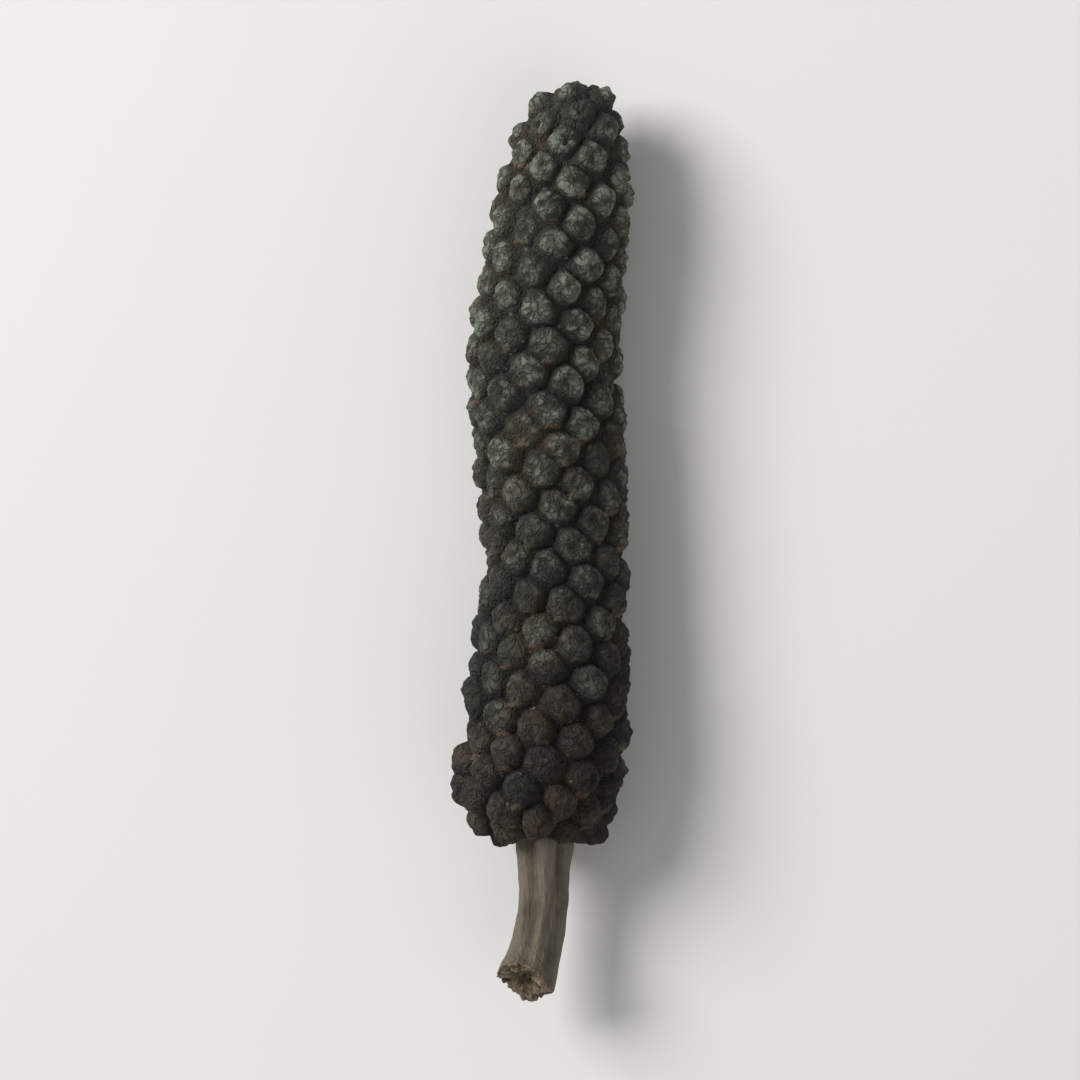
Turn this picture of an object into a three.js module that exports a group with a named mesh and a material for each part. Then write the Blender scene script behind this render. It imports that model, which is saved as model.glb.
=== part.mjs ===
// One dried long pepper: the fruit spike of a pepper vine, picked unripe and dried whole, with the stub of
// its stalk. Millimetres, +Z up. It lies on its side on the plane z = 0, along X, and its tip is at +X.
// The spike is a rachis set all round with small fruitlets in spiral rows, each a low dome that meets its
// neighbours in a crease. Rachis and fruitlets grew as one body. The stalk is the paler body that bore it.
import * as THREE from "three";

// Driving sizes, in millimetres. The pitch is the distance between neighbouring fruitlets on the rachis.
const spikeLength = 17.3;
const spikeWidth = 3.94;
const fruitletPitch = 0.86;
const tipFruitletPitch = 0.66;
const fruitletHeight = 0.36;
const tipFruitletHeight = 0.22;
const stalkLength = 3.3;
const stalkWidth = 1.1;

// The stalk stands just clear of the spike, and its snapped end is uneven
const stalkGap = 0.04;
const tornDepth = 0.08;

// The spike lies lower than a round one would: its underside dried flatter, and is pressed in where it rests
const undersideDepth = 0.27;
const pressedDepth = 0.08;

// How the fruitlets differ: how far their places stray, as a share of the pitch, how far their heights
// stray, and how many stayed small. They all lean a little towards the tip.
const placeFreedom = 0.12;
const heightFreedom = 0.2;
const shrunkenShare = 0.05;
const shrunkenHeight = 0.4;
const leanToTip = 0.12;

// The rachis is what the fruitlets stand on, so it is smaller than the spike by their height
const rachisLength = spikeLength - tipFruitletHeight;
const rachisHalfWidth = spikeWidth / 2 - fruitletHeight;

// From the middle of the stalk's seat to the middle of the whole part
const originX = 6.77;
const originY = 0.107;

const goldenAngle = Math.PI * (3 - Math.sqrt(5));
const fullTurn = 2 * Math.PI;
const hexagonShare = Math.sqrt(3) / 2;

// Random draws, by a fixed rule from a fixed start
let drawn = 4711;
function random() {
  drawn = (drawn * 16807) % 2147483647;
  return drawn / 2147483647;
}
const spread = (amount) => amount * (2 * random() - 1);

const bump = (x) => Math.exp(-x * x);
const roundedEnd = (x, power) => (1 - Math.max(0, x) ** power) ** (1 / power);

// Half the rachis's width at a share of its length, from the stalk at 0 to the tip at 1:
// fullest near the stalk, slightly waisted before the middle, and blunt at both ends
function halfWidth(share) {
  const body = 0.815 + 0.185 * bump((share - 0.13) / 0.2) + 0.13 * bump((share - 0.58) / 0.17);
  const tip = roundedEnd((share - 0.78) / 0.22, 2.4);
  const base = roundedEnd((0.09 - share) / 0.095, 3);
  return rachisHalfWidth * body * tip * base;
}

// The rachis's centre line: it hooks a little to one side at the tip and wavers at the waist, and it dips
// along its length and rises again at the tip, so that both of its fuller stretches lie on the surface
function centreLine(share) {
  const hook = -0.74 * Math.max(0, (share - 0.6) / 0.4) ** 1.5;
  const baseWaver = 0.22 * bump((share - 0.075) / 0.07);
  const waistWaver = -0.16 * bump((share - 0.36) / 0.15);
  const upperWaver = 0.16 * bump((share - 0.65) / 0.12);
  const height = spikeWidth / 2 - undersideDepth - 0.4 * share + 0.45 * share ** 4;
  return new THREE.Vector3(share * rachisLength, hook + baseWaver + waistWaver + upperWaver, height);
}

// A point of the rachis's surface, a little out of round as it dried, and flattened on the side it dried on:
// there no point lies lower than its fruitlets are high, less the depth that their tops are pressed in by
function rachisPoint(share, angle) {
  const outOfRound = 1 + 0.03 * Math.cos(2 * angle + 5 * share) + 0.02 * Math.cos(3 * angle - 9 * share + 1);
  const radius = halfWidth(share) * outOfRound;
  const around = new THREE.Vector3(0, Math.cos(angle), Math.sin(angle));
  const point = centreLine(share).addScaledVector(around, radius);
  const lowest = fruitletHeight - pressedDepth;
  const softness = 0.06;
  return point.setZ(lowest + softness * Math.log(1 + Math.exp((point.z - lowest) / softness)));
}

function rachisNormal(share, angle) {
  const step = 1e-4;
  const along = rachisPoint(share + step, angle).sub(rachisPoint(share - step, angle));
  const around = rachisPoint(share, angle + step).sub(rachisPoint(share, angle - step));
  return around.cross(along).normalize();
}

// The rachis unrolled as a map that keeps its angles true. A step's height on the map is its length over the
// rachis's radius, as the angle is, so cells drawn on the map keep their form on the rachis.
const mapSteps = 4000;
const tipFruitletRadius = 0.3;

function unrollRachis() {
  const rows = [{ share: 0, height: 0, fruitlets: 0 }];
  for (let i = 1; i <= mapSteps; i++) {
    const share = i / mapSteps;
    const radius = halfWidth(share);
    if (share > 0.9 && radius < tipFruitletRadius) break;
    const last = rows[rows.length - 1];
    const length = Math.hypot(rachisLength / mapSteps, radius - halfWidth(last.share));
    const fullness = Math.min(1, radius / rachisHalfWidth);
    const pitch = tipFruitletPitch + (fruitletPitch - tipFruitletPitch) * fullness;
    rows.push({
      share,
      height: last.height + length / radius,
      fruitlets: last.fruitlets + (fullTurn * radius * length) / (hexagonShare * pitch ** 2),
    });
  }
  return rows;
}

const unrolled = unrollRachis();
const mapTop = unrolled[unrolled.length - 1].height;

function shareAtHeight(height) {
  let low = 0;
  let high = unrolled.length - 1;
  while (high - low > 1) {
    const middle = (low + high) >> 1;
    if (unrolled[middle].height < height) low = middle;
    else high = middle;
  }
  const [a, b] = [unrolled[low], unrolled[high]];
  return a.share + ((b.share - a.share) * (height - a.height)) / (b.height - a.height);
}

// The fruitlets' middles on the map: one a golden angle on from the last, as high as the area below it asks
function layOutFruitlets() {
  const middles = [];
  for (const row of unrolled) {
    if (row.fruitlets < middles.length + 0.5) continue;
    const freedom = (placeFreedom * fruitletPitch) / halfWidth(row.share);
    middles.push({
      angle: middles.length * goldenAngle + spread(freedom),
      height: row.height + spread(freedom),
    });
  }
  return middles;
}

// Keeps the part of a polygon, its points relative to a middle, that is nearer to it than to a neighbour
function cutTowards(polygon, dx, dy) {
  const limit = (dx * dx + dy * dy) / 2;
  const beyond = polygon.map(([x, y]) => x * dx + y * dy - limit);
  return polygon.flatMap((point, i) => {
    const j = (i + 1) % polygon.length;
    const kept = beyond[i] <= 0 ? [point] : [];
    if (beyond[i] < 0 === beyond[j] < 0 || beyond[i] === 0 || beyond[j] === 0) return kept;
    const share = beyond[i] / (beyond[i] - beyond[j]);
    return [...kept, point.map((value, axis) => value + share * (polygon[j][axis] - value))];
  });
}

// A fruitlet's cell on the map: all that is nearer to its middle than to any other, within the map's ends
function cellOf(middles, k) {
  const { angle, height } = middles[k];
  const reach = (2 * fruitletPitch) / halfWidth(shareAtHeight(height));
  const low = Math.max(-reach, -height);
  const high = Math.min(reach, mapTop - height);
  let polygon = [[-reach, low], [reach, low], [reach, high], [-reach, high]];
  middles.forEach((other, j) => {
    const turn = (other.angle - angle) % fullTurn;
    for (const whole of [-fullTurn, 0, fullTurn]) {
      const [dx, dy] = [turn + whole, other.height - height];
      const near = Math.hypot(dx, dy) < 2 * reach;
      if (near && !(j === k && whole === 0)) polygon = cutTowards(polygon, dx, dy);
    }
  });
  return polygon.map(([x, y]) => ({ angle: angle + x, height: height + y }));
}

// Collects vertices and triangles, and makes corners that all but meet one vertex
class Surface {
  points = [];
  corners = [];
  triangles = [];

  add(point) {
    this.points.push(point.setZ(Math.max(0, point.z)));
    return this.points.length - 1;
  }

  corner(point) {
    const sameCorner = 0.11;
    const found = this.corners.find((i) => this.points[i].distanceTo(point) < sameCorner);
    if (found !== undefined) return found;
    this.corners.push(this.add(point));
    return this.points.length - 1;
  }

  // A rounded dome over a ring of corners, with a foot of twice as many points as corners, and a shoulder.
  // Both lie at a share of the way out to the corners and of the way up to the top.
  dome(ring, middle, axis, height) {
    const [footOut, footUp, shoulderOut, shoulderUp] = [0.84, 0.48, 0.5, 0.87];
    const offsets = ring.flatMap((i, k) => {
      const corner = this.points[i].clone().sub(middle);
      const next = this.points[ring[(k + 1) % ring.length]].clone().sub(middle);
      return [corner, next.add(corner).divideScalar(2)];
    });
    const meanReach = offsets.reduce((sum, offset) => sum + offset.length(), 0) / offsets.length;
    const raise = (offset, out, up) => {
      const reach = offset.length();
      const roundedReach = Math.min(0.92 * reach, out * (0.6 * reach + 0.4 * meanReach));
      const point = middle.clone().addScaledVector(offset, roundedReach / reach);
      return this.add(point.addScaledVector(axis, up * height));
    };
    const foot = offsets.map((offset) => raise(offset, footOut, footUp));
    const shoulder = ring.map((_, k) => raise(offsets[2 * k], shoulderOut, shoulderUp));
    ring.forEach((a, k) => {
      const l = (k + 1) % ring.length;
      const [b, p, m, q] = [ring[l], foot[2 * k], foot[2 * k + 1], foot[2 * l]];
      const [r, s] = [shoulder[k], shoulder[l]];
      this.triangles.push(a, b, m, a, m, p, b, q, m, p, m, r, m, s, r, m, q, s);
    });
    this.fan(shoulder, middle.clone().addScaledVector(axis, height));
  }

  fan(ring, middle) {
    const top = this.add(middle);
    ring.forEach((a, i) => this.triangles.push(a, ring[(i + 1) % ring.length], top));
  }

  geometry() {
    const made = new THREE.BufferGeometry().setFromPoints(this.points);
    made.setIndex(this.triangles);
    made.computeVertexNormals();
    return made;
  }
}

// The spike: a dome on every cell, one more for the tip, and a flat seat for the stalk
function makeSpike() {
  const surface = new Surface();
  const seatRing = new Map();
  const tipRing = new Map();
  const middles = layOutFruitlets();
  middles.forEach((middle, k) => {
    const ring = [];
    const cell = cellOf(middles, k);
    for (const point of cell) {
      const index = surface.corner(rachisPoint(shareAtHeight(point.height), point.angle));
      const angle = ((point.angle % fullTurn) + fullTurn) % fullTurn;
      if (point.height < 1e-6) seatRing.set(index, angle);
      if (point.height > mapTop - 1e-6) tipRing.set(index, angle);
      if (!ring.includes(index)) ring.push(index);
    }
    const mean = (key) => cell.reduce((sum, point) => sum + point[key], 0) / cell.length;
    const share = shareAtHeight(mean("height"));
    const fullness = Math.min(1, halfWidth(share) / rachisHalfWidth);
    const grown = random() < shrunkenShare ? shrunkenHeight : 1 + spread(heightFreedom);
    const height = grown * (tipFruitletHeight + (fruitletHeight - tipFruitletHeight) * fullness);
    const axis = rachisNormal(share, mean("angle")).add(new THREE.Vector3(leanToTip, 0, 0)).normalize();
    surface.dome(ring, rachisPoint(share, mean("angle")), axis, height);
  });
  const inOrder = (ring) => [...ring].sort((a, b) => a[1] - b[1]).map(([index]) => index);
  surface.dome(inOrder(tipRing), centreLine(1), new THREE.Vector3(1, 0, 0), 0.75 * tipFruitletHeight);
  surface.fan(inOrder(seatRing).reverse(), centreLine(0));
  console.log(middles.length + 1, "fruitlets");
  return surface.geometry();
}

// The stalk's centre line, from the spike's seat out to the snapped end, which turns up a little
function stalkPoint(share) {
  const start = centreLine(0);
  const along = stalkGap + share * (stalkLength - stalkGap);
  return new THREE.Vector3(-along, start.y + 0.35 * share ** 2, start.z - 0.5 * share + 0.85 * share ** 3);
}

// The stalk's radius: flared where it joins the spike, furrowed lengthwise, and torn wider where it snapped
function stalkRadius(share, angle) {
  const flare = 1 + 0.16 * bump(share / 0.16) + 0.2 * bump((share - 1) / 0.13);
  const furrows = 1 + 0.07 * Math.cos(5 * angle + 1.5 * share);
  return (stalkWidth / 2) * flare * furrows;
}

// A tube from the seat to the snapped end, whose rim is uneven and whose middle is sunk
function makeStalk() {
  const sides = 15;
  const rings = 14;
  const surface = new Surface();
  let last = null;
  for (let i = 0; i <= rings; i++) {
    const share = i / rings;
    const middle = stalkPoint(share);
    const back = i === 0 ? new THREE.Vector3(-1, 0, 0) : stalkPoint(share + 1e-3).sub(middle).normalize();
    const side = new THREE.Vector3(0, 0, 1).cross(back).normalize();
    const up = back.clone().cross(side);
    const ring = Array.from({ length: sides }, (_, s) => {
      const angle = (fullTurn * s) / sides;
      const radius = stalkRadius(share, angle);
      const uneven = i === rings ? tornDepth * Math.sin(3 * angle) : 0;
      const point = middle.clone().addScaledVector(side, radius * Math.cos(angle));
      return surface.add(point.addScaledVector(up, radius * Math.sin(angle)).addScaledVector(back, uneven));
    });
    if (last)
      last.forEach((a, s) => {
        const t = (s + 1) % sides;
        surface.triangles.push(a, last[t], ring[t], a, ring[t], ring[s]);
      });
    else surface.fan([...ring].reverse(), middle);
    last = ring;
  }
  surface.fan(last, stalkPoint(1 - (2 * tornDepth) / stalkLength));
  return surface.geometry();
}

// Assembly
const longPepper = new THREE.Group();
longPepper.position.set(-originX, -originY, 0);

const spike = new THREE.Mesh(
  makeSpike(),
  new THREE.MeshStandardMaterial({ color: 0x38362f, roughness: 0.8, metalness: 0, flatShading: true }),
);
spike.name = "fruit_spike";
longPepper.add(spike);

const stalk = new THREE.Mesh(
  makeStalk(),
  new THREE.MeshStandardMaterial({ color: 0x655c4e, roughness: 0.85, metalness: 0, flatShading: true }),
);
stalk.name = "stalk";
longPepper.add(stalk);

export default longPepper;
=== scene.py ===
import math

import bpy
import numpy as np
from mathutils import Matrix, Vector, noise


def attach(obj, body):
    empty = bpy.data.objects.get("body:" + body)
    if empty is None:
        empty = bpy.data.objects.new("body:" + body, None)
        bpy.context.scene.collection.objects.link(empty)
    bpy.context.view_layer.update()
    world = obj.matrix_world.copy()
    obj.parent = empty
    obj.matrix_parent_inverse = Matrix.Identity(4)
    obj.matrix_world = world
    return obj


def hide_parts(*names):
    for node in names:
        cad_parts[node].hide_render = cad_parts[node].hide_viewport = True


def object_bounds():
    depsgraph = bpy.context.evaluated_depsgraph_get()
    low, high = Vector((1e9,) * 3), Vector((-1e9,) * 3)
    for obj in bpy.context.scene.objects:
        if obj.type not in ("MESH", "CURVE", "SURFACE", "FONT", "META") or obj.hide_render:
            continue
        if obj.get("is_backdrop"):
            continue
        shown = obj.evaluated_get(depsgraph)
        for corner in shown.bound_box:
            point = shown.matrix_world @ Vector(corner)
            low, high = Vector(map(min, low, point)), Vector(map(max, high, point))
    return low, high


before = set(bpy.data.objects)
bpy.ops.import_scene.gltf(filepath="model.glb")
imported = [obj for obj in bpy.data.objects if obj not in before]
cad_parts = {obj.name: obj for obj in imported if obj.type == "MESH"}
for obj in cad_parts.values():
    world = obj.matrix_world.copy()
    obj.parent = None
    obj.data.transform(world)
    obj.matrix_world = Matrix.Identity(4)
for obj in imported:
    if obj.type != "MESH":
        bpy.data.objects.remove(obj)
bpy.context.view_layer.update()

bl_info = {
    "name": "Dried Long Pepper",
    "version": (1, 0, 0),
    "blender": (4, 5, 0),
    "location": "3D View > Sidebar > Long Pepper",
    "description": "One dried long pepper: a spike of small fruitlets with the stub of its stalk",
    "category": "Object",
}

MM = 0.001
FULL_TURN = 2 * math.pi
GOLDEN_ANGLE = math.pi * (3 - math.sqrt(5))
HEXAGON_SHARE = math.sqrt(3) / 2
ORIGIN = (6.77, 0.107, 0)  # of the frame, in millimetres from the spike's stalk end


# Settings

def length(name, description, millimetres):
    """A setting that is a length on the object."""
    return bpy.props.FloatProperty(
        name=name, description=description, default=millimetres * MM, min=0, unit="LENGTH", precision=6
    )


def share(name, description, default):
    """A setting that is a share of a whole."""
    return bpy.props.FloatProperty(
        name=name, description=description, default=default, min=0, max=1, subtype="FACTOR"
    )


def colour(name, description, default):
    """A setting that is a colour, in linear red, green and blue."""
    return bpy.props.FloatVectorProperty(
        name=name, description=description, default=default, min=0, max=1, size=3, subtype="COLOR"
    )


class SpikeSettings(bpy.types.PropertyGroup):
    """Sizes and colours of the fruit spike."""

    length: length("Length", "Length of the spike without its stalk", 17.3)
    width: length("Width", "Width of the spike where it is fullest", 3.94)
    pitch: length("Fruitlet pitch", "Distance between neighbouring fruitlets on the rachis", 0.86)
    tip_pitch: length("Tip fruitlet pitch", "The same distance at the tip", 0.66)
    rise: length("Fruitlet height", "Height of a full fruitlet above the rachis", 0.36)
    tip_rise: length("Tip fruitlet height", "Height of the smallest fruitlets, at the tip", 0.22)
    underside: length("Flattened depth", "How much lower the spike lies than a round one would", 0.27)
    pressed: length("Pressed depth", "How far the lowest fruitlets are pressed in", 0.08)
    shrunken: share("Shrunken fruitlets", "Share of the fruitlets that stayed small", 0.05)
    dented: share("Dented fruitlets", "Share of the fruitlets whose top fell in as it dried", 0.25)
    bracts: share("Bracts", "Share of the fruitlets whose bract still shows", 0.6)
    wrinkle: length("Wrinkle depth", "Depth of the wrinkles in the dried skin", 0.022)
    skin: colour("Skin", "The fruitlets' bare, dried skin", (0.022, 0.020, 0.015))
    ripe: colour("Ripe skin", "The skin of the fruitlets that were nearer to ripe", (0.042, 0.032, 0.019))
    # Partly a real grey bloom and partly a painted highlight on the fruitlets' tops. It also lightens the
    # creases towards the tip as a painted haze.
    bloom_and_highlight: colour("Bloom", "The dull grey film on the fruitlets' tops", (0.150, 0.164, 0.126))
    # Painted shade: a near-black colour put in the deep creases between fruitlets, where shade falls.
    crease_shade: colour("Creases", "The deep creases between fruitlets", (0.007, 0.006, 0.005))
    rust: colour("Rust", "Reddish brown patches in the creases", (0.045, 0.026, 0.015))
    bract: colour("Bract", "The small dry bracts between the fruitlets", (0.13, 0.088, 0.052))
    dust: colour("Dust", "Pale specks of dust and fibre", (0.26, 0.24, 0.185))


class StalkSettings(bpy.types.PropertyGroup):
    """Sizes and colours of the stalk."""

    length: length("Length", "Length of the stalk's stub", 3.3)
    width: length("Width", "Width of the stalk at its middle", 1.1)
    torn: length("Torn depth", "How uneven the snapped end is", 0.08)
    skin: colour("Skin", "The dried stalk's ridges", (0.145, 0.120, 0.087))
    # Painted shade: a darker colour put in the furrows between the stalk's ridges, where shade falls.
    furrow_shade: colour("Furrow", "The furrows between the ridges", (0.048, 0.038, 0.027))
    pith: colour("Pith", "The sunk middle of the snapped end", (0.038, 0.027, 0.017))
    fibre: colour("Fibre", "The fibres of the snapped end", (0.26, 0.195, 0.125))


class StageSettings(bpy.types.PropertyGroup):
    """The camera, the light and the floor."""

    lean: bpy.props.FloatProperty(
        name="Lean", description="How far to the spike's side the camera stands from straight above it",
        default=math.radians(18), subtype="ANGLE"
    )
    dip: bpy.props.FloatProperty(
        name="Dip", description="How far towards the stalk the camera stands from straight above the spike",
        default=math.radians(4), subtype="ANGLE"
    )
    distance: length("Distance", "From the camera to the middle of the pepper", 200)
    height: length("Height shown", "Length along the pepper that fills the frame", 24.6)
    floor: colour("Floor", "The plain pale floor", (0.66, 0.645, 0.62))


class LongPepperSettings(bpy.types.PropertyGroup):
    """Everything about the long pepper that a user would change."""

    spike: bpy.props.PointerProperty(type=SpikeSettings)
    stalk: bpy.props.PointerProperty(type=StalkSettings)
    stage: bpy.props.PointerProperty(type=StageSettings)


# Shaders

class Signal:
    """A value that runs between a finish's nodes. Sums and products of it add their Math nodes."""

    def __init__(self, finish, socket):
        self.finish = finish
        self.socket = socket

    def math(self, operation, first, second):
        return self.finish.node("ShaderNodeMath", {"operation": operation}, {0: first, 1: second})

    def __add__(self, other):
        return self.math("ADD", self, other)

    def __radd__(self, other):
        return self.math("ADD", other, self)

    def __sub__(self, other):
        return self.math("SUBTRACT", self, other)

    def __rsub__(self, other):
        return self.math("SUBTRACT", other, self)

    def __mul__(self, other):
        return self.math("MULTIPLY", self, other)

    def __rmul__(self, other):
        return self.math("MULTIPLY", other, self)

    def clipped(self):
        return self.finish.node("ShaderNodeClamp", {}, {"Value": self})

    def between(self, low, high):
        """0 up to low, 1 from high, and a smooth step between them."""
        limits = {"Value": self, "From Min": low, "From Max": high}
        return self.finish.node("ShaderNodeMapRange", {"interpolation_type": "SMOOTHSTEP"}, limits)


class Finish:
    """A material, put together node by node."""

    def __init__(self, name):
        self.material = bpy.data.materials.new(name)
        self.material.use_nodes = True
        self.tree = self.material.node_tree
        self.tree.nodes.clear()

    def node(self, kind, settings, inputs, output=0):
        """Adds one node: its settings first, then the values or links of its sockets."""
        made = self.tree.nodes.new(kind)
        for name, value in settings.items():
            setattr(made, name, value)
        for name, value in inputs.items():
            if isinstance(value, Signal):
                self.tree.links.new(value.socket, made.inputs[name])
            else:
                made.inputs[name].default_value = value
        return Signal(self, made.outputs[output]) if made.outputs else None

    def millimetres(self, stretch=(1, 1, 1)):
        """The place on the object in millimetres, stretched along its axes."""
        place = self.node("ShaderNodeTexCoord", {}, {}, "Object")
        scale = [value / MM for value in stretch]
        return self.node("ShaderNodeVectorMath", {"operation": "MULTIPLY"}, {0: place, 1: scale})

    def measured(self, name):
        """A number that the mesh holds at each of its points."""
        return self.node("ShaderNodeAttribute", {"attribute_name": name}, {}, "Fac")

    def cloud(self, place, per_millimetre, detail=3.0, roughness=0.55):
        """Noise around one half, with so many clouds to a millimetre."""
        inputs = {"Vector": place, "Scale": per_millimetre, "Detail": detail, "Roughness": roughness}
        return self.node("ShaderNodeTexNoise", {}, inputs)

    def grains(self, place, per_millimetre):
        """Round specks of many sizes, in a few of the places that could hold one."""
        inputs = {"Vector": place, "Scale": per_millimetre}
        distance = self.node("ShaderNodeTexVoronoi", {}, inputs, "Distance")
        chance = self.node("ShaderNodeTexVoronoi", {}, inputs, "Color") * 1.0  # the colour as one number
        size = 0.42 * chance.between(0.6, 0.85)
        return (size - distance).between(0, 0.1)

    def folds(self, place, per_millimetre):
        """Fine folds: 0 along their lines, and 1 between them."""
        cloud = self.cloud(place, per_millimetre, 2, 0.5)
        return self.node("ShaderNodeMath", {"operation": "ABSOLUTE"}, {0: cloud - 0.5}).between(0, 0.085)

    def blend(self, first, second, amount):
        """A colour between two."""
        colours = {name: value if isinstance(value, Signal) else (*value, 1)
                   for name, value in (("A_Color", first), ("B_Color", second))}
        made = self.tree.nodes.new("ShaderNodeMix")
        made.data_type = "RGBA"
        sockets = {socket.identifier: socket for socket in made.inputs}
        for name, value in (("Factor_Float", amount), *colours.items()):
            if isinstance(value, Signal):
                self.tree.links.new(value.socket, sockets[name])
            else:
                sockets[name].default_value = value
        return Signal(self, next(s for s in made.outputs if s.identifier == "Result_Color"))

    def bump(self, height, strength, depth):
        """A normal bent by a height, whose full range is so many millimetres deep."""
        inputs = {"Height": height, "Strength": strength, "Distance": depth * MM}
        return self.node("ShaderNodeBump", {}, inputs)

    def close(self, base, roughness, normal, specular):
        """Joins the finish to the surface, and hands over the material."""
        inputs = {"Base Color": base, "Roughness": roughness, "Specular IOR Level": specular}
        if normal:
            inputs["Normal"] = normal
        shader = self.node("ShaderNodeBsdfPrincipled", {}, inputs)
        self.node("ShaderNodeOutputMaterial", {}, {"Surface": shader})
        return self.material


def fruitlet_finish(spike):
    """Dry, wrinkled skin: dark, with painted shade in the creases, a grey bloom on the tops that is partly
    real and partly a painted highlight, stronger towards the tip of the spike partly as a painted haze, rust
    in the creases and pale dust."""
    finish = Finish("dry_fruitlet_skin")
    place = finish.millimetres()
    rise = finish.measured("rise")
    fold = finish.measured("fold")
    lot = finish.measured("lot")
    bract = finish.measured("bract")
    scar = finish.measured("scar")
    along = finish.measured("along")
    ripe = finish.measured("ripe")
    patches = finish.cloud(place, 0.4, 2)
    film = finish.cloud(place, 2.4, 4, 0.65)
    crinkle = finish.folds(place, 4.6)
    grain = finish.cloud(place, 17, 3, 0.65)
    grains = finish.grains(place, 6.5)

    # top: the fruitlets' tops, where the bloom colour is partly a painted highlight.
    top = rise.between(0.3, 0.85)
    worn = top * fold.between(0.4, 0.9)
    bloom_and_highlight = film.between(0.34, 0.62) * (0.05 + 0.6 * lot + 0.4 * patches.between(0.3, 0.7))
    # The bloom grows far stronger towards the tip. This is partly real bloom and partly a painted haze that
    # lightens the tip end.
    bloom_and_highlight = (bloom_and_highlight + 0.3 * worn) * top * (0.07 + 2.15 * along) * (0.6 + 0.4 * crinkle)
    bare = finish.blend(spike.skin, spike.ripe, ripe * patches.between(0.3, 0.6))
    skin = finish.blend(bare, spike.bloom_and_highlight, bloom_and_highlight.clipped())
    rusty = patches.between(0.46, 0.62) * film.between(0.4, 0.6)
    # The creases' painted shade, lightened towards the tip by the bloom colour as a painted haze, with real
    # rust patches mixed in.
    crease_shade = finish.blend(finish.blend(spike.crease_shade, spike.bloom_and_highlight, 0.2 * along), spike.rust, rusty)
    # depth: how far a point is out of the painted crease shade. It is low deep in the creases and high on
    # the fruitlets' tops, and it runs the blend below from painted shade to skin.
    depth = rise.between(0.1, 0.5) * (0.4 + 0.6 * fold.between(0.1, 0.5)) * (0.6 + 0.4 * crinkle)
    blackened = (1 - along.between(0.25, 0.55)) * finish.cloud(place, 0.55, 1).between(0.4, 0.54)
    colour_of_all = finish.blend(crease_shade, skin, depth * (1 - 0.72 * blackened))
    scale = bract.between(0.3, 0.7) * grain.between(0.3, 0.55) * (0.35 + 0.65 * lot)
    colour_of_all = finish.blend(colour_of_all, spike.bract, scale)
    colour_of_all = finish.blend(colour_of_all, spike.rust, 0.6 * scar)
    dusty = (1.1 - rise) * film.between(0.45, 0.62) * grain.between(0.35, 0.55)
    colour_of_all = finish.blend(colour_of_all, spike.dust, (0.75 * grains * dusty).clipped())

    roughness = 0.88 - 0.32 * (worn * (1 - film.between(0.4, 0.6)))
    normal = finish.bump(0.5 * grain + 0.5 * crinkle, 0.9, 0.09)
    return finish.close(colour_of_all, roughness, normal, 0.3)


def stalk_finish(stalk):
    """Dry stalk: tan ridges, painted shade in the furrows, streaks along it and pale fibres where it
    snapped.
    """
    finish = Finish("dry_stalk")
    streaks = finish.cloud(finish.millimetres((0.14, 1, 1)), 6, 4, 0.6)
    threads = finish.cloud(finish.millimetres((0.07, 1, 1)), 17, 2, 0.6)
    place = finish.millimetres()
    blotches = finish.cloud(place, 1.6, 3)
    grain = finish.cloud(place, 13, 3)
    ridge = finish.measured("ridge")
    torn = finish.measured("torn")
    fibre = finish.measured("fibre")
    # shade: high on the ridges and low in the furrows, where the furrow colour stands as painted shade. The
    # streaks and threads along it are the stalk's real tone.
    shade = ridge.between(-0.1, 0.7) * (0.2 + 0.8 * streaks + 0.7 * threads)
    skin = finish.blend(stalk.furrow_shade, stalk.skin, (shade * blotches.between(0.15, 0.5)).clipped())
    fibres = finish.blend(stalk.pith, stalk.fibre, (fibre * (0.45 + grain.between(0.35, 0.6))).clipped())
    colour_of_all = finish.blend(skin, fibres, torn)
    normal = finish.bump(streaks + 0.6 * threads, 0.9, 0.09)
    return finish.close(colour_of_all, 0.8 + 0.1 * streaks, normal, 0.35)


def floor_finish(stage):
    """A plain pale floor with the least of a mottle."""
    finish = Finish("pale_floor")
    mottle = finish.cloud(finish.millimetres(), 0.05, 2)
    darker = [0.97 * value for value in stage.floor]
    return finish.close(finish.blend(darker, stage.floor, mottle), 0.9, None, 0.2)


# Shapes, in millimetres. Until they are moved to the frame, x runs from the spike's stalk end towards its
# tip, and z goes up from the surface that it lies on.

def hump(x):
    return np.exp(-x * x)


def rounded_end(x, power):
    return (1 - np.clip(x, 0, 1) ** power) ** (1 / power)


def smooth_floor(values, low, softness):
    """The values themselves where they are well above low, and low where they are below it."""
    return low + softness * np.logaddexp(0, (values - low) / softness)


def unit(vectors):
    return vectors / np.maximum(np.linalg.norm(vectors, axis=-1, keepdims=True), 1e-12)


def draws(start):
    """Random numbers from 0 to 1, by a fixed rule from a fixed start."""
    drawn = start
    while True:
        drawn = drawn * 16807 % 2147483647
        yield drawn / 2147483647


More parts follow.
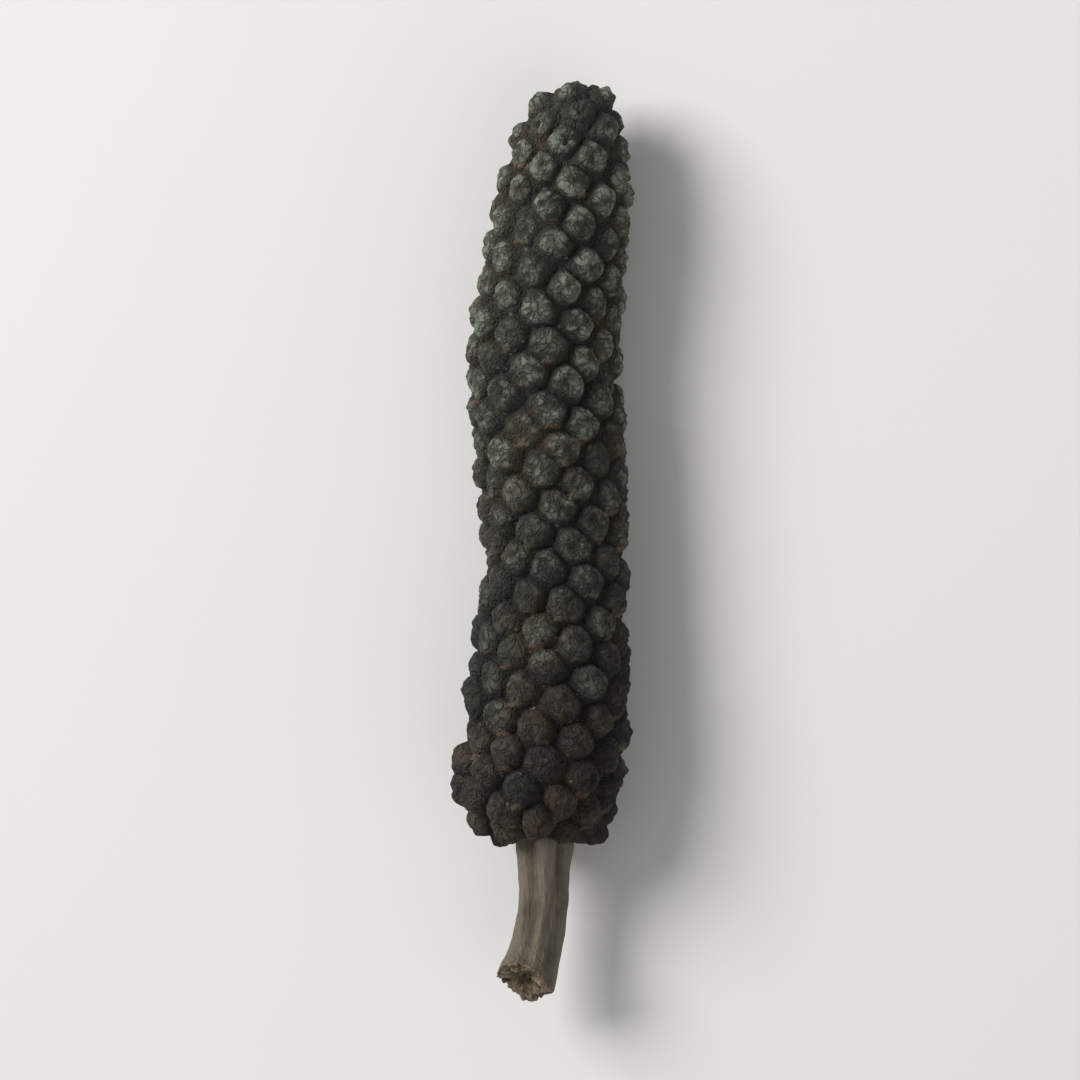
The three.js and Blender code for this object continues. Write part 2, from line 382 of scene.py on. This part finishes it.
class Rachis:
    """The core of the spike: its width, its bend, its surface and where the fruitlets sit on it."""

    STEPS = 4000
    SMALLEST_RADIUS = 0.3
    PLACE_FREEDOM = 0.12  # of the pitch
    FLAT_SOFTNESS = 0.06  # in millimetres, how gradually the underside turns flat

    def __init__(self, spike):
        self.spike = spike
        self.length = (spike.length - spike.tip_rise) / MM
        self.half = (spike.width / 2 - spike.rise) / MM
        self.pitch = spike.pitch / MM
        self.tip_pitch = spike.tip_pitch / MM

    def half_width(self, along):
        """Half the width at a share of the length, from the stalk at 0 to the tip at 1."""
        body = 0.815 + 0.185 * hump((along - 0.13) / 0.2) + 0.13 * hump((along - 0.58) / 0.17)
        tip = rounded_end((along - 0.78) / 0.22, 2.4)
        base = rounded_end((0.09 - along) / 0.095, 3)
        return self.half * body * tip * base

    def centre_line(self, along):
        """The bend: a hook at the tip, wavers below it and a dip along the whole."""
        along = np.asarray(along, float)
        hook = -0.74 * np.maximum(0, (along - 0.6) / 0.4) ** 1.5
        base_waver = 0.22 * hump((along - 0.075) / 0.07)
        waist_waver = -0.16 * hump((along - 0.36) / 0.15)
        upper_waver = 0.16 * hump((along - 0.65) / 0.12)
        aside = hook + base_waver + waist_waver + upper_waver
        height = (self.spike.width / 2 - self.spike.underside) / MM - 0.4 * along + 0.45 * along**4
        return np.stack([along * self.length, aside, height], -1)

    def surface(self, along, angle):
        """Points of the surface, a little out of round, and flattened on the side that it dried on."""
        out_of_round = 1 + 0.03 * np.cos(2 * angle + 5 * along) + 0.02 * np.cos(3 * angle - 9 * along + 1)
        around = np.stack([np.zeros_like(angle), np.cos(angle), np.sin(angle)], -1)
        points = self.centre_line(along) + around * (self.half_width(along) * out_of_round)[..., None]
        lowest = (self.spike.rise - self.spike.pressed) / MM
        points[..., 2] = smooth_floor(points[..., 2], lowest, self.FLAT_SOFTNESS)
        return points

    def normals(self, along, angle):
        step = 1e-4
        lengthwise = self.surface(along + step, angle) - self.surface(along - step, angle)
        around = self.surface(along, angle + step) - self.surface(along, angle - step)
        return unit(np.cross(around, lengthwise))

    def fullness(self, along):
        return np.minimum(1, self.half_width(along) / self.half)

    def lay_out(self, random):
        """The fruitlets' middles: one for each step of the golden angle, as far along as their areas ask."""
        along = np.arange(self.STEPS + 1) / self.STEPS
        radius = self.half_width(along)
        small = np.nonzero((along > 0.9) & (radius < self.SMALLEST_RADIUS))[0][0]
        along, radius = along[:small], radius[:small]
        step = np.hypot(self.length / self.STEPS, np.diff(radius))
        map_height = np.concatenate([[0], np.cumsum(step / radius[1:])])
        pitch = self.tip_pitch + (self.pitch - self.tip_pitch) * np.minimum(1, radius / self.half)
        area = FULL_TURN * radius[1:] * step / (HEXAGON_SHARE * pitch[1:] ** 2)
        fruitlets = np.concatenate([[0], np.cumsum(area)])
        rows = np.searchsorted(fruitlets, np.arange(int(fruitlets[-1] + 0.5)) + 0.5)
        middles = []
        for k, row in enumerate(rows):
            freedom = self.PLACE_FREEDOM * self.pitch / radius[row]
            angle = k * GOLDEN_ANGLE + freedom * (2 * next(random) - 1)
            middles.append((map_height[row] + freedom * (2 * next(random) - 1), angle))
        height, angle = np.array(middles).T
        return np.interp(height, map_height, along), angle


class Fruitlets:
    """One low dome for each fruitlet, side by side on the rachis."""

    FIRST_DRAW = 4711
    NEIGHBOURS = 7
    SHRUNKEN_HEIGHT = 0.4  # of a full fruitlet's
    HEIGHT_FREEDOM = 0.2  # of a fruitlet's height, up or down
    LEAN_TO_TIP = 0.12
    POLE_HEIGHT = 0.75  # of the fruitlet on the very tip, against the tip's others
    POLE_SIZE = 0.6
    CORNER_START = 0.36  # of the pitch, from a cell's middle
    CORNER_LENGTH = 0.24  # of the pitch
    CORNER_FALL = 0.35  # of a fruitlet's height
    LUMP_SHARE = 0.06  # of a fruitlet's height
    BRACT_FOOT = 0.42  # of the pitch, from a fruitlet's middle towards the stalk
    # These are in millimetres.
    CREASE_SOFTNESS = 0.055
    NIPPLE_HEIGHT = 0.02
    RING_DEPTH = 0.025
    DENT_DEPTH = 0.1
    BRACT_HEIGHT = 0.1
    PRESSED_SOFTNESS = 0.008

    def __init__(self, spike, rachis, points):
        random = draws(self.FIRST_DRAW)
        self.spike = spike
        self.rachis = rachis
        along, angle = rachis.lay_out(random)
        normals = rachis.normals(along, angle)
        fullness = rachis.fullness(along)
        grown = []
        for _ in along:
            small = next(random) < spike.shrunken
            grown.append(self.SHRUNKEN_HEIGHT if small else 1 + self.HEIGHT_FREEDOM * (2 * next(random) - 1))
        tip = rachis.centre_line(1.0)
        self.middles = np.vstack([rachis.surface(along, angle), tip])
        self.axes = np.vstack([unit(normals + np.array([self.LEAN_TO_TIP, 0, 0])), [1, 0, 0]])
        rise = np.append(fullness, 0) * (spike.rise - spike.tip_rise) + spike.tip_rise
        self.rises = rise / MM * np.append(grown, self.POLE_HEIGHT)
        self.sizes = np.append(fullness, self.POLE_SIZE)
        lengthwise = unit(np.array([1.0, 0, 0]) - self.axes * self.axes[:, :1])
        lengthwise[-1] = (0, 0, 1)
        self.lengthwise = lengthwise
        self.sideways = np.cross(self.axes, lengthwise)
        count = len(self.middles)
        self.lots = np.array([next(random) for _ in range(count)])
        self.dents = np.array([next(random) < spike.dented for _ in range(count)])
        self.bracts = np.array([next(random) < spike.bracts for _ in range(count)])
        self.shifts = np.array([[next(random) - 0.5, next(random) - 0.5] for _ in range(count)])
        self.nearest, self.gaps = self.neighbours(points)
        self.centres = self.mean_places(points)

    def neighbours(self, points):
        """For each point its nearest middles, and how far it lies inside its own middle's cell."""
        count = self.NEIGHBOURS
        places, middles = points.astype(np.float32), self.middles.astype(np.float32)
        squares = ((places[:, None] - middles[None]) ** 2).sum(-1)
        nearest = np.argpartition(squares, count, axis=1)[:, :count]
        distances = np.take_along_axis(squares, nearest, 1)
        order = np.argsort(distances, axis=1)
        nearest = np.take_along_axis(nearest, order, 1)
        distances = np.take_along_axis(distances, order, 1).astype(float)
        own = self.middles[nearest[:, :1]]
        apart = np.linalg.norm(self.middles[nearest[:, 1:]] - own, axis=-1)
        edges = (distances[:, 1:] - distances[:, :1]) / (2 * apart)
        return nearest, edges

    def mean_places(self, points):
        """The middle of each cell's own points, which a dome's top stands over."""
        own = self.nearest[:, 0]
        totals = np.zeros_like(self.middles)
        np.add.at(totals, own, points)
        counts = np.bincount(own, minlength=len(self.middles))[:, None]
        centres = np.where(counts > 0, totals / np.maximum(counts, 1), self.middles)
        centres[-1] = self.middles[-1]
        return centres

    def shape(self, points, normals, to_rim):
        """Moves the rachis's points out to the fruitlets' skin, and measures the skin for its finish."""
        own = self.nearest[:, 0]
        edges = np.column_stack([self.gaps, to_rim])
        inside = np.maximum(0, -self.CREASE_SOFTNESS * np.log(np.exp(-edges / self.CREASE_SOFTNESS).sum(1)))
        offset = points - self.centres[own]
        reach = np.linalg.norm(offset, axis=1)
        out = reach / np.maximum(reach + inside, 1e-9)
        size = self.sizes[own]
        past_start = reach / (self.rachis.pitch * size) - self.CORNER_START
        corner = np.clip(past_start / self.CORNER_LENGTH, 0, 1)
        rise = (1 - out**2) ** 0.5 * (1 - self.CORNER_FALL * corner**2)

        across = (offset * self.sideways[own]).sum(1)
        up_along = (offset * self.lengthwise[own]).sum(1)
        apex = np.hypot(across - 0.1 * self.shifts[own, 0], up_along - 0.05 - 0.1 * self.shifts[own, 1])
        nipple = hump(apex / 0.06)
        ring = hump((apex - 0.13) / 0.05)
        dent_at = np.hypot(across - 0.3 * self.shifts[own, 1], up_along + 0.3 * self.shifts[own, 0])
        dent = self.dents[own] * hump(dent_at / (0.2 * size))

        bract = np.zeros(len(points))
        for k in range(3):
            cell = self.nearest[:, k]
            below = self.BRACT_FOOT * self.rachis.pitch * self.sizes[cell]
            foot = self.middles[cell] - self.lengthwise[cell] * below[:, None]
            from_foot = points - foot
            lengthwise = (from_foot * self.lengthwise[cell]).sum(1)
            sideways = (from_foot * self.sideways[cell]).sum(1) - 0.2 * self.shifts[cell, 0]
            width = 0.14 + 0.09 * self.lots[cell]
            scale = hump(lengthwise / 0.085) * hump((sideways / width) ** 2)
            bract = np.maximum(bract, scale * self.bracts[cell])

        lumps, folds = self.wrinkles(points, np.column_stack([across, up_along, reach]))
        height = self.rises[own] * rise * (1 + self.LUMP_SHARE * lumps)
        height += rise * (self.NIPPLE_HEIGHT * nipple - self.RING_DEPTH * ring - self.DENT_DEPTH * dent)
        height += self.spike.wrinkle / MM * (0.3 + 0.7 * rise) * folds
        height += self.BRACT_HEIGHT * bract * (1 - 0.6 * rise)
        ways = unit(0.45 * normals + 0.55 * self.axes[own])
        skin = points + ways * height[:, None]
        skin[:, 2] = smooth_floor(skin[:, 2], 0, self.PRESSED_SOFTNESS)
        measures = {
            "rise": np.clip(height / (0.6 * self.rises[own] + 0.14), 0, 1),
            "fold": np.clip(0.5 + 0.25 * folds, 0, 1),
            "lot": self.lots[own],
            "ripe": self.lots[own] * 7.3 % 1,
            "bract": bract * (1 - 0.7 * rise),
            "scar": nipple * rise,
            "along": np.clip(points[:, 0] / self.rachis.length, 0, 1),
        }
        return skin, measures

    def wrinkles(self, points, on_cell):
        """Two sizes of unevenness at each point: lumps, and the wrinkles of the dried skin."""
        lumps, netted, puckered = [], [], []
        lots = self.lots[self.nearest[:, 0]]
        for point, (across, up_along, reach), lot in zip(points, on_cell, lots):
            place = Vector(point)
            own = Vector((0, 0, 31 * lot))
            lumps.append(noise.noise(place * 1.7))
            net = noise.turbulence(place * 2.3 + own, 3, True, amplitude_scale=0.6, frequency_scale=2.2)
            netted.append(net)
            round_apex = Vector((across, up_along, 0)) * (2.3 / max(reach, 0.02)) + own
            puckered.append(abs(noise.noise(round_apex + place * 0.7)) * min(1, reach / 0.2))
        return even(lumps), even(even(netted) + 0.6 * even(puckered))


def even(values):
    """The same values, spread around zero by about one, and none of them further than 2.4 away."""
    values = np.array(values)
    return np.clip((values - values.mean()) / values.std(), -2.4, 2.4)


def tube_noise(along, turn, around, lengthwise, start):
    """Noise on a tube: so fine around it and along it, from a place of its own in the noise."""
    return np.array([
        [
            noise.noise(Vector((around * math.cos(a), around * math.sin(a), lengthwise * s + start)))
            for a in turn
        ]
        for s in along
    ])


def grid_faces(rows, columns):
    """Four-sided faces of a tube of rows, each closed round."""
    here = np.arange(columns)
    there = (here + 1) % columns
    first = np.arange(rows - 1)[:, None] * columns
    faces = np.stack([first + here, first + there, first + columns + there, first + columns + here], -1)
    return faces.reshape(-1, 4).tolist()


def make_piece(name, points, faces, measures, material, node):
    """Makes a mesh from points in millimetres, and lets it stand for its CAD node."""
    mesh = bpy.data.meshes.new(name)
    mesh.from_pydata((points * MM).tolist(), [], faces)
    for measure, values in measures.items():
        attribute = mesh.attributes.new(measure, "FLOAT", "POINT")
        attribute.data.foreach_set("value", values.astype(np.float32))
    mesh.shade_smooth()
    mesh.update()
    mesh.materials.append(material)
    piece = bpy.data.objects.new(name, mesh)
    bpy.context.scene.collection.objects.link(piece)
    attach(piece, "root")
    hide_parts(node)


def to_frame(points):
    """Moves points so that the frame's origin is below the middle of the part."""
    return points - np.array(ORIGIN)


class OBJECT_OT_long_pepper_spike(bpy.types.Operator):
    """Make the fruit spike, with every fruitlet on it"""

    bl_idname = "object.long_pepper_spike"
    bl_label = "Fruit Spike"

    ROWS = 392
    COLUMNS = 232
    SEAT_RINGS = 6

    def execute(self, context):
        spike = context.scene.long_pepper.spike
        rachis = Rachis(spike)
        stops = 1 - (1 - np.linspace(0, 1, 6001)) ** 2
        steps = np.hypot(np.diff(stops) * rachis.length, np.diff(rachis.half_width(stops)))
        travelled = np.concatenate([[0], np.cumsum(steps)])
        row_at = np.linspace(0, travelled[-1], self.ROWS + 1)[:-1]
        along = np.interp(row_at, travelled, stops)
        turn = FULL_TURN * np.arange(self.COLUMNS) / self.COLUMNS
        along_grid, turn_grid = np.meshgrid(along, turn, indexing="ij")
        surface = rachis.surface(along_grid, turn_grid)

        lengthwise = np.gradient(surface, axis=0)
        around = np.roll(surface, -1, axis=1) - np.roll(surface, 1, axis=1)
        normals = unit(np.cross(around, lengthwise))
        points = surface.reshape(-1, 3)
        to_rim = np.repeat(row_at, self.COLUMNS)
        fruitlets = Fruitlets(spike, rachis, points)
        skin, measures = fruitlets.shape(points, normals.reshape(-1, 3), to_rim)

        middle = rachis.centre_line(0.0)
        inward = (np.arange(1, self.SEAT_RINGS) / self.SEAT_RINGS)[:, None, None]
        rim = skin[: self.COLUMNS]
        seat = (middle + (rim - middle) * inward).reshape(-1, 3)
        top = rachis.centre_line(1.0) + np.array([fruitlets.rises[-1] + 0.02, 0, 0])
        points = np.vstack([middle, seat, skin, top])
        rings = self.ROWS + self.SEAT_RINGS - 1
        faces = [[1 + a for a in face] for face in grid_faces(rings, self.COLUMNS)]
        last = 1 + (rings - 1) * self.COLUMNS
        end = len(points) - 1
        for k in range(self.COLUMNS):
            after = (k + 1) % self.COLUMNS
            faces.append([0, 1 + after, 1 + k])
            faces.append([last + k, last + after, end])
        seat_count = len(seat) + 1
        measures = {
            name: np.concatenate([np.zeros(seat_count), values, values[-1:]])
            for name, values in measures.items()
        }
        make_piece(
            "fruit_spike_skin", to_frame(points), faces, measures,
            fruitlet_finish(spike), "fruit_spike",
        )
        return {"FINISHED"}


class OBJECT_OT_long_pepper_stalk(bpy.types.Operator):
    """Make the stub of the stalk, with its furrows and its torn end"""

    bl_idname = "object.long_pepper_stalk"
    bl_label = "Stalk"

    ROWS = 150
    COLUMNS = 120
    END_RINGS = 22
    FURROWS = 5
    FURROW_DEPTH = 0.07  # of the radius
    BUNDLES = 13
    HIDDEN = 0.04  # of the length, inside the spike

    def centre_line(self, spike, stalk, along):
        start = Rachis(spike).centre_line(0.0)
        x = -along * stalk.length / MM
        y = start[1] + 0.35 * along**2
        z = start[2] - 0.5 * along + 0.85 * along**3
        return np.stack([x, y, z], -1)

    def execute(self, context):
        settings = context.scene.long_pepper
        spike, stalk = settings.spike, settings.stalk
        along = np.linspace(-self.HIDDEN, 1, self.ROWS)
        centres = self.centre_line(spike, stalk, along)
        back = unit(np.gradient(centres, axis=0))
        side = unit(np.cross([0, 0, 1.0], back))
        up = np.cross(back, side)
        turn = FULL_TURN * np.arange(self.COLUMNS) / self.COLUMNS
        along_grid, turn_grid = np.meshgrid(along, turn, indexing="ij")

        flare = 1 + 0.16 * hump(along_grid / 0.16) + 0.2 * hump((along_grid - 1) / 0.13)
        furrows = self.FURROW_DEPTH * np.cos(self.FURROWS * turn_grid + 1.5 * along_grid)
        fine = tube_noise(along, turn, 3.1, 2.2, 0)
        finer = tube_noise(along, turn, 8, 3, 7)
        crinkle = tube_noise(along, turn, 1.6, 14, 3)
        relief = furrows + 0.1 * fine + 0.05 * finer + 0.035 * crinkle
        radius = stalk.width / 2 / MM * flare * (1 + relief)
        skin = (
            centres[:, None]
            + side[:, None] * (radius * np.cos(turn_grid))[..., None]
            + up[:, None] * (radius * np.sin(turn_grid))[..., None]
        )
        torn_mm = stalk.torn / MM
        splinters = torn_mm * (np.sin(3 * turn) + 1.1 * finer[-1])
        fade = np.clip((along - 0.86) / 0.14, 0, 1)[:, None] ** 2
        skin += back[:, None] * (fade * splinters)[..., None]

        rings, fibres = [], []
        rim = skin[-1]
        middle = centres[-1] - back[-1] * 2 * torn_mm
        for k in range(1, self.END_RINGS):
            inward = k / self.END_RINGS
            ring = rim + (middle - rim) * inward
            ragged = np.array([noise.noise(Vector(p) * 6) + 0.5 * noise.noise(Vector(p) * 15) for p in ring])
            bundles = np.maximum(0, np.cos(self.BUNDLES * turn + 2 * fine[-1])) * hump((inward - 0.3) / 0.13)
            pith = hump((1 - inward) / 0.4)
            relief_out = 0.035 * bundles - 0.05 * pith + 0.07 * ragged * min(1, 5 * inward)
            rings.append(ring + back[-1] * relief_out[:, None])
            fibres.append(np.clip(0.35 + 0.9 * bundles - 0.25 * pith + 0.5 * ragged, 0, 1))
        points = np.vstack([skin.reshape(-1, 3), *rings, middle])
        count = self.ROWS + self.END_RINGS - 1
        faces = [face[::-1] for face in grid_faces(count, self.COLUMNS)]
        end = len(points) - 1
        last = end - self.COLUMNS
        for k in range(self.COLUMNS):
            after = (k + 1) % self.COLUMNS
            faces.append([last + after, last + k, end])
        faces.append(list(range(self.COLUMNS)))
        flat = (self.END_RINGS - 1) * self.COLUMNS + 1
        ridge = np.clip(0.5 + 3.2 * relief, 0, 1)
        near_end = np.repeat(np.clip((along - 0.965) / 0.03, 0, 1), self.COLUMNS)
        measures = {
            "ridge": np.concatenate([ridge.ravel(), np.full(flat, 0.6)]),
            "torn": np.concatenate([near_end, np.ones(flat)]),
            "fibre": np.concatenate([0.6 * near_end, *fibres, [0.2]]),
        }
        make_piece("stalk_skin", to_frame(points), faces, measures, stalk_finish(stalk), "stalk")
        return {"FINISHED"}


class OBJECT_OT_long_pepper_stage(bpy.types.Operator):
    """Make the pale floor, the soft light and the camera"""

    bl_idname = "object.long_pepper_stage"
    bl_label = "Stage"

    FLOOR_HALF = 1.5
    SKY_COLOUR = (0.93, 0.96, 1.0, 1)
    SKY_STRENGTH = 0.33
    LIGHTS = (
        # name, place, size, power
        ("key_light", (0.08, 0.12, 0.14), 0.13, 0.5),
        ("fill_light", (-0.10, -0.13, 0.12), 0.20, 0.11),
    )

    def execute(self, context):
        scene = context.scene
        stage = scene.long_pepper.stage
        low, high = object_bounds()
        middle = (low + high) / 2
        self.make_floor(scene, stage)
        for light in self.LIGHTS:
            self.make_light(scene, middle, *light)
        world = bpy.data.worlds.new("soft_room")
        world.use_nodes = True
        background = world.node_tree.nodes["Background"]
        background.inputs["Color"].default_value = self.SKY_COLOUR
        background.inputs["Strength"].default_value = self.SKY_STRENGTH
        scene.world = world
        scene.view_settings.view_transform = "Standard"
        self.make_camera(scene, stage, middle)
        return {"FINISHED"}

    def make_floor(self, scene, stage):
        half = self.FLOOR_HALF
        mesh = bpy.data.meshes.new("floor")
        corners = [(-half, -half, 0), (half, -half, 0), (half, half, 0), (-half, half, 0)]
        mesh.from_pydata(corners, [], [[0, 1, 2, 3]])
        mesh.materials.append(floor_finish(stage))
        floor = bpy.data.objects.new("floor", mesh)
        scene.collection.objects.link(floor)
        floor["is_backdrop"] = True

    def make_light(self, scene, middle, name, place, size, power):
        data = bpy.data.lights.new(name, "AREA")
        data.shape = "DISK"
        data.size = size
        data.energy = power
        light = bpy.data.objects.new(name, data)
        light.location = place
        light.rotation_euler = (Vector(place) - middle).to_track_quat("Z", "Y").to_euler()
        scene.collection.objects.link(light)

    def make_camera(self, scene, stage, middle):
        """Looks down on the spike, whose tip points up in the picture."""
        data = bpy.data.cameras.new("camera")
        data.clip_start = 0.005
        data.clip_end = 20
        data.angle = 2 * math.atan(stage.height / 2 / stage.distance)
        camera = bpy.data.objects.new("camera", data)
        away = Vector((-math.sin(stage.dip), -math.sin(stage.lean), 0))
        away.z = math.sqrt(1 - away.length_squared)
        right = Vector((1, 0, 0)).cross(away).normalized()
        above = away.cross(right)
        turned = Matrix((right, above, away)).transposed().to_4x4()
        camera.matrix_world = Matrix.Translation(middle + away * stage.distance) @ turned
        scene.collection.objects.link(camera)
        scene.camera = camera


class VIEW3D_PT_long_pepper(bpy.types.Panel):
    """Lists the pieces of the long pepper and their settings"""

    bl_label = "Long Pepper"
    bl_idname = "VIEW3D_PT_long_pepper"
    bl_space_type = "VIEW_3D"
    bl_region_type = "UI"
    bl_category = "Long Pepper"

    def draw(self, context):
        settings = context.scene.long_pepper
        for group, operator in PIECES:
            box = self.layout.box()
            box.operator(operator)
            values = getattr(settings, group)
            for name in values.__annotations__:
                box.prop(values, name)


PIECES = (
    ("spike", "object.long_pepper_spike"),
    ("stalk", "object.long_pepper_stalk"),
    ("stage", "object.long_pepper_stage"),
)

CLASSES = (
    SpikeSettings,
    StalkSettings,
    StageSettings,
    LongPepperSettings,
    OBJECT_OT_long_pepper_spike,
    OBJECT_OT_long_pepper_stalk,
    OBJECT_OT_long_pepper_stage,
    VIEW3D_PT_long_pepper,
)


def register():
    for made in CLASSES:
        bpy.utils.register_class(made)
    bpy.types.Scene.long_pepper = bpy.props.PointerProperty(type=LongPepperSettings)


def unregister():
    del bpy.types.Scene.long_pepper
    for made in reversed(CLASSES):
        bpy.utils.unregister_class(made)


def main():
    register()
    bpy.ops.object.long_pepper_spike()
    bpy.ops.object.long_pepper_stalk()
    bpy.ops.object.long_pepper_stage()


if __name__ == "__main__":
    main()
